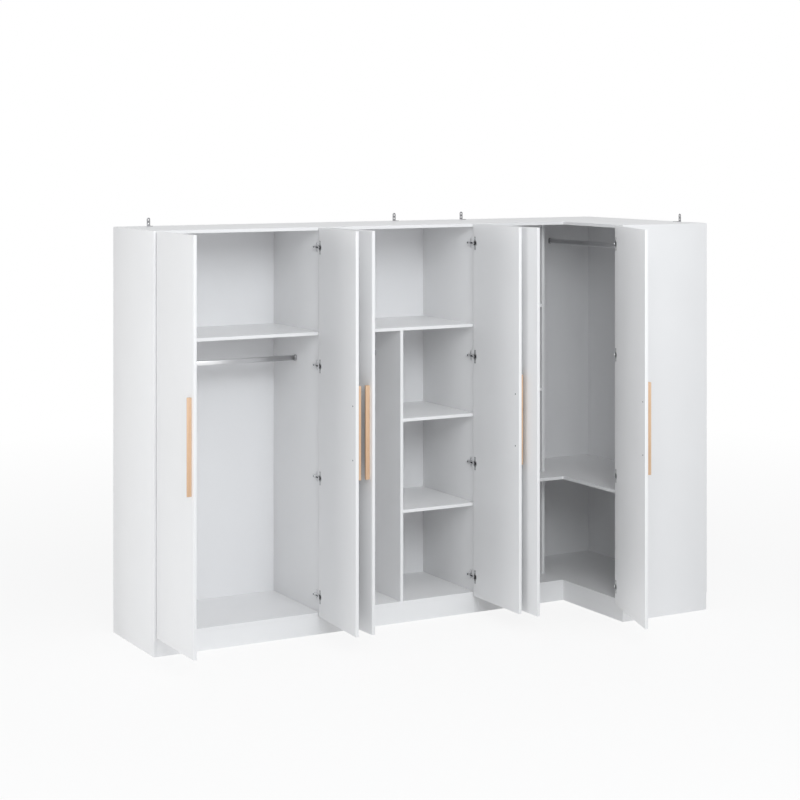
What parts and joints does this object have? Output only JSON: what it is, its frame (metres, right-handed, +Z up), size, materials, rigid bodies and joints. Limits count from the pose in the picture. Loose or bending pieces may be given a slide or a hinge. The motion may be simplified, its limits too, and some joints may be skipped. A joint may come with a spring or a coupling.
{
  "type": "corner wardrobe",
  "caption": "Tall white L-shaped corner wardrobe with hinged doors standing open, oak strip handles, shelves and hanging rails.",
  "frame": {"origin": "middle of the footprint with the doors open as pictured, on the floor", "axes": "+X along the long wing to the corner, +Y to the long wall, +Z up; the doors open towards -Y"},
  "size_m": [3.2116, 1.7138, 2.2973],
  "materials": {
    "white_board": "satin white laminate",
    "back_board": "matt white fibreboard",
    "oak": "clear lacquered oak",
    "rail_metal": "satin chromed tube",
    "steel": "zinc plated"
  },
  "bodies": {
    "cabinet": {"a_side_left": "white_board", "a_side_right": "white_board", "a_top": "white_board", "a_bottom": "white_board", "a_plinth": "white_board", "a_back": "back_board", "a_shelf": "white_board", "rail_a": "rail_metal", "rail_cup_a_1": "rail_metal", "rail_cup_a_2": "rail_metal", "bracket_a": "steel", "b_side_left": "white_board", "b_side_right": "white_board", "b_top": "white_board", "b_bottom": "white_board", "b_plinth": "white_board", "b_back": "back_board", "b_shelf": "white_board", "b_divider": "white_board", "b_narrow_shelf_1": "white_board", "b_narrow_shelf_2": "white_board", "rail_b": "rail_metal", "rail_cup_b_1": "rail_metal", "rail_cup_b_2": "rail_metal", "bracket_b": "steel", "c_side_left": "white_board", "c_side_end": "white_board", "c_top": "white_board", "c_bottom": "white_board", "c_shelf": "white_board", "c_plinth_left": "white_board", "c_plinth_right": "white_board", "c_back_long": "back_board", "c_back_short": "back_board", "c_divider_low": "white_board", "c_divider_high": "white_board", "c_narrow_shelf_1": "white_board", "c_narrow_shelf_2": "white_board", "rail_c": "rail_metal", "rail_cup_c_1": "rail_metal", "rail_cup_c_2": "rail_metal", "bracket_c_long": "steel", "bracket_c_short": "steel"},
    "leaf_a_left": {"door_a_left": "white_board", "handle_a_left": "oak"},
    "leaf_a_right": {"door_a_right": "white_board", "handle_a_right": "oak"},
    "leaf_b_left": {"door_b_left": "white_board", "handle_b_left": "oak"},
    "leaf_b_right": {"door_b_right": "white_board", "handle_b_right": "oak"},
    "leaf_c_left": {"door_c_left": "white_board"},
    "leaf_c_right": {"door_c_right": "white_board", "handle_c_right": "oak"},
    "links_c_right": {"link_c_right_1": "steel", "link_c_right_2": "steel", "link_c_right_3": "steel", "link_c_right_4": "steel"}
  },
  "joints": [
    {"name": "open_a_left", "type": "hinge", "parent": "cabinet", "child": "leaf_a_left", "pos_m": [-1.579, 0.23665, 1.175], "axis": [0, 0, -1], "range_deg": [-90, 20]},
    {"name": "open_a_right", "type": "hinge", "parent": "cabinet", "child": "leaf_a_right", "pos_m": [-0.6095, 0.23665, 1.175], "axis": [0, 0, 1], "range_deg": [-86.7, 1.5]},
    {"name": "open_b_left", "type": "hinge", "parent": "cabinet", "child": "leaf_b_left", "pos_m": [-0.579, 0.23665, 1.175], "axis": [0, 0, -1], "range_deg": [-87, 1.2]},
    {"name": "open_b_right", "type": "hinge", "parent": "cabinet", "child": "leaf_b_right", "pos_m": [0.3905, 0.23665, 1.175], "axis": [0, 0, 1], "range_deg": [-89.5, 0.5]},
    {"name": "open_c_left", "type": "hinge", "parent": "cabinet", "child": "leaf_c_left", "pos_m": [0.421, 0.23665, 1.175], "axis": [0, 0, -1], "range_deg": [-89.1, 0.9]},
    {"name": "open_c_right", "type": "hinge", "parent": "cabinet", "child": "leaf_c_right", "pos_m": [0.9855, -0.32785, 1.175], "axis": [0, 0, 1], "range_deg": [-65.6, 4.4]},
    {"name": "turn_links_c_right", "type": "hinge", "parent": "cabinet", "child": "links_c_right", "pos_m": [0.9855, -0.32785, 1.175], "axis": [0, 0, 1], "range_deg": [-24.37, 1.73]}
  ],
  "couplings": [
    {"joint": "turn_links_c_right", "follows": "open_c_right", "ratio": 0.37}
  ]
}
